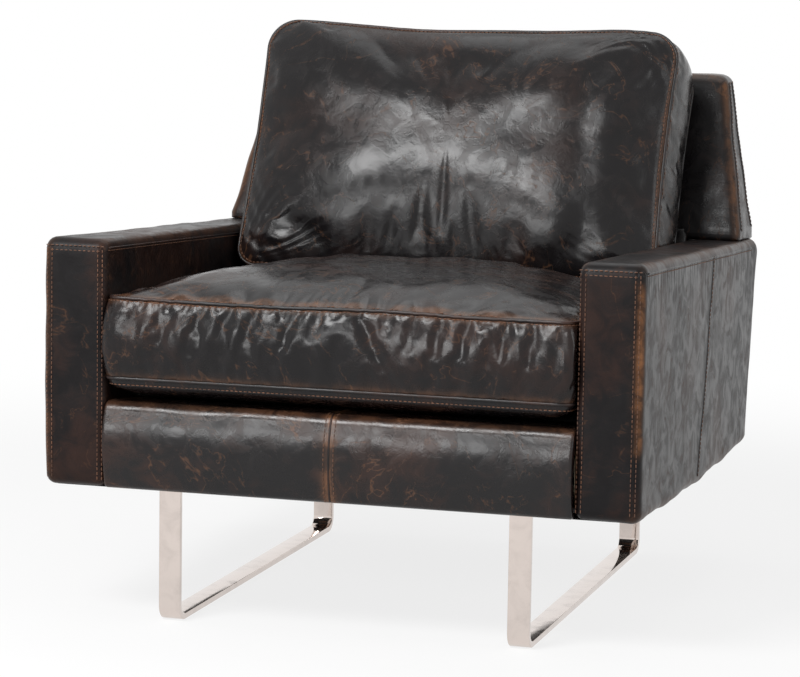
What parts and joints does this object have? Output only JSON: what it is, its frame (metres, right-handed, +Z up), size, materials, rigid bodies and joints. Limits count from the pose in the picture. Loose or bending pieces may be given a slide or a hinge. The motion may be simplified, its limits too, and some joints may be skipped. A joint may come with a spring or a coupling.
{
  "type": "worn club chair",
  "caption": "Worn glossy brown leather club chair with square arms, loose seat and back cushions and bent flat-bar sled legs.",
  "frame": {"origin": "on the floor, under the middle of the bounding box", "axes": "+Z up, +Y to the rear of the chair, +X to the right as seen from the front"},
  "size_m": [0.81, 0.872, 0.7843],
  "materials": {
    "leather": "glossy, creased, rubbed brown on the edges",
    "hardwood": "sawn, unfinished",
    "foam": "matt",
    "cloth": "matt",
    "spring_steel": "oiled",
    "chrome": "polished"
  },
  "bodies": {
    "root": {"arm_cover_left": "leather", "arm_cover_right": "leather", "back_cover": "leather", "outside_back_panel": "leather", "front_rail_cover": "leather", "seat_cushion_cover": "leather", "back_cushion_cover": "leather", "arm_bottom_rail_left": "hardwood", "arm_bottom_rail_right": "hardwood", "arm_top_rail_left": "hardwood", "arm_top_rail_right": "hardwood", "arm_front_post_left": "hardwood", "arm_front_post_right": "hardwood", "arm_rear_post_left": "hardwood", "arm_rear_post_right": "hardwood", "front_rail": "hardwood", "rear_rail": "hardwood", "back_top_rail": "hardwood", "back_wing_rail": "hardwood", "side_rail_left": "hardwood", "side_rail_right": "hardwood", "back_side_panel_left": "hardwood", "back_side_panel_right": "hardwood", "wing_slat_left": "hardwood", "wing_slat_right": "hardwood", "corner_block_front_left": "hardwood", "corner_block_front_right": "hardwood", "corner_block_rear_left": "hardwood", "corner_block_rear_right": "hardwood", "arm_foam_left": "foam", "arm_foam_right": "foam", "back_foam": "foam", "front_rail_foam": "foam", "seat_cushion_foam": "foam", "back_cushion_filling": "foam", "deck_pad": "cloth", "dust_cloth": "cloth", "back_strap_1": "cloth", "back_strap_2": "cloth", "back_strap_3": "cloth", "seat_spring_1": "spring_steel", "seat_spring_2": "spring_steel", "seat_spring_3": "spring_steel", "seat_spring_4": "spring_steel", "spring_clip_front_1": "spring_steel", "spring_clip_front_2": "spring_steel", "spring_clip_front_3": "spring_steel", "spring_clip_front_4": "spring_steel", "spring_clip_rear_1": "spring_steel", "spring_clip_rear_2": "spring_steel", "spring_clip_rear_3": "spring_steel", "spring_clip_rear_4": "spring_steel", "leg_screw_front_left": "spring_steel", "leg_screw_front_right": "spring_steel", "leg_screw_rear_left": "spring_steel", "leg_screw_rear_right": "spring_steel", "sled_leg_left": "chrome", "sled_leg_right": "chrome"}
  },
  "joints": []
}
